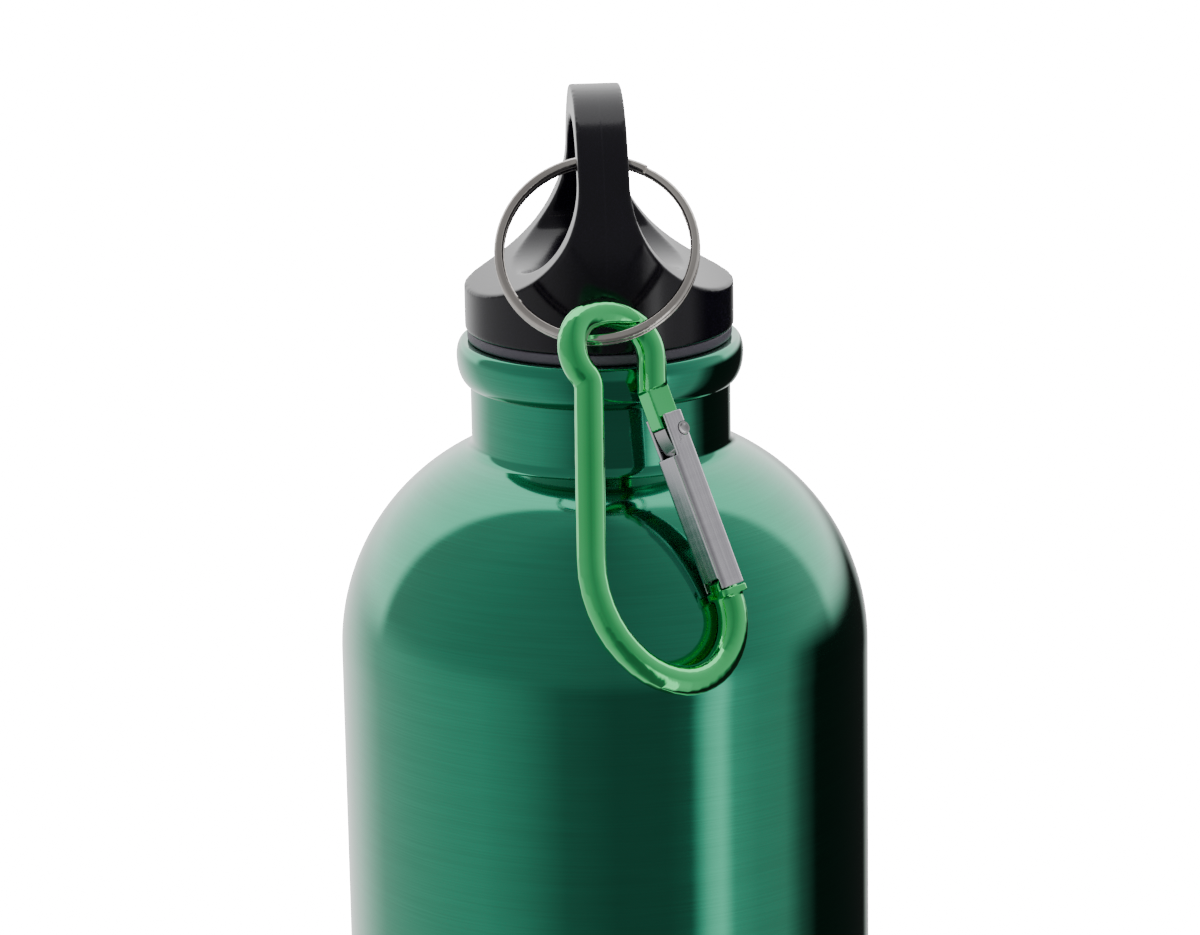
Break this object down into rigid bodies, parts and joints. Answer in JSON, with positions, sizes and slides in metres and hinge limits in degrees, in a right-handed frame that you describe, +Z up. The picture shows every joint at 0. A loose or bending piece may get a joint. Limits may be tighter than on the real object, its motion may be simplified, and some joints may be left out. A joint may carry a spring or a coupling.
{
  "type": "canteen",
  "caption": "Aluminium sports bottle with a threaded screw cap, a carrying loop moulded in the cap, a hanging split ring and a sprung snap clip.",
  "frame": {"origin": "centre of the circle the bottle stands on", "axes": "+Z up along the bottle's axis; -Y is the front, where the ring and the clip hang; +X to the viewer's right"},
  "size_m": [0.066, 0.0749, 0.2085],
  "materials": {
    "green_lacquer": "translucent green lacquer over finely brushed aluminium, glossy",
    "natural_plastic": "natural food grade plastic, satin",
    "gasket_rubber": "charcoal silicone, satin",
    "black_plastic": "moulded black plastic, semi-gloss",
    "ring_steel": "nickel plated spring steel, polished",
    "green_anodised": "bright green anodised aluminium, polished",
    "gate_steel": "folded bright steel sheet, fine lengthways grain",
    "spring_steel": "bright spring steel"
  },
  "bodies": {
    "bottle": {"bottle_body": "green_lacquer", "neck_thread_insert": "natural_plastic"},
    "gasket": {"cap_gasket": "gasket_rubber"},
    "cap": {"cap_shell": "black_plastic", "cap_plug": "black_plastic"},
    "ring": {"split_ring": "ring_steel"},
    "carabiner": {"carabiner_frame": "green_anodised", "gate_rivet": "gate_steel"},
    "gate": {"carabiner_gate": "gate_steel", "gate_spring": "spring_steel"},
    "plunger": {"spring_plunger": "spring_steel"}
  },
  "joints": [
    {"name": "cap_lift", "type": "slide", "parent": "bottle", "child": "gasket", "axis": [0, 0, 1], "range_m": [0, 0.016]},
    {"name": "cap_turn", "type": "hinge", "parent": "gasket", "child": "cap", "pos_m": [0, 0, 0.17876], "axis": [0, 0, 1], "range_deg": [0, 1440]},
    {"name": "ring_swing", "type": "hinge", "parent": "cap", "child": "ring", "pos_m": [0, -0.007, 0.20066], "axis": [-0.9905, 0.1374, 0], "range_deg": [0, 130]},
    {"name": "carabiner_swing", "type": "hinge", "parent": "ring", "child": "carabiner", "pos_m": [-0.00031, -0.02132, 0.18198], "axis": [-0.9924, 0.0515, -0.1121], "range_deg": [0, 12]},
    {"name": "gate_pivot", "type": "hinge", "parent": "carabiner", "child": "gate", "pos_m": [0.00738, -0.02245, 0.17064], "axis": [-0.5224, 0.7379, -0.4274], "range_deg": [0, 25], "stiffness_Nm_per_rad": 0.02, "springref_deg": -17.19},
    {"name": "plunger_slide", "type": "slide", "parent": "gate", "child": "plunger", "axis": [0.3102, -0.3024, -0.9013], "range_m": [0, 0.0011], "deforming": ["gate_spring"]}
  ],
  "couplings": [
    {"joint": "cap_turn", "follows": "cap_lift", "rad_per_m": 1570.8},
    {"joint": "plunger_slide", "follows": "gate_pivot", "m_per_rad": 0.0024}
  ]
}
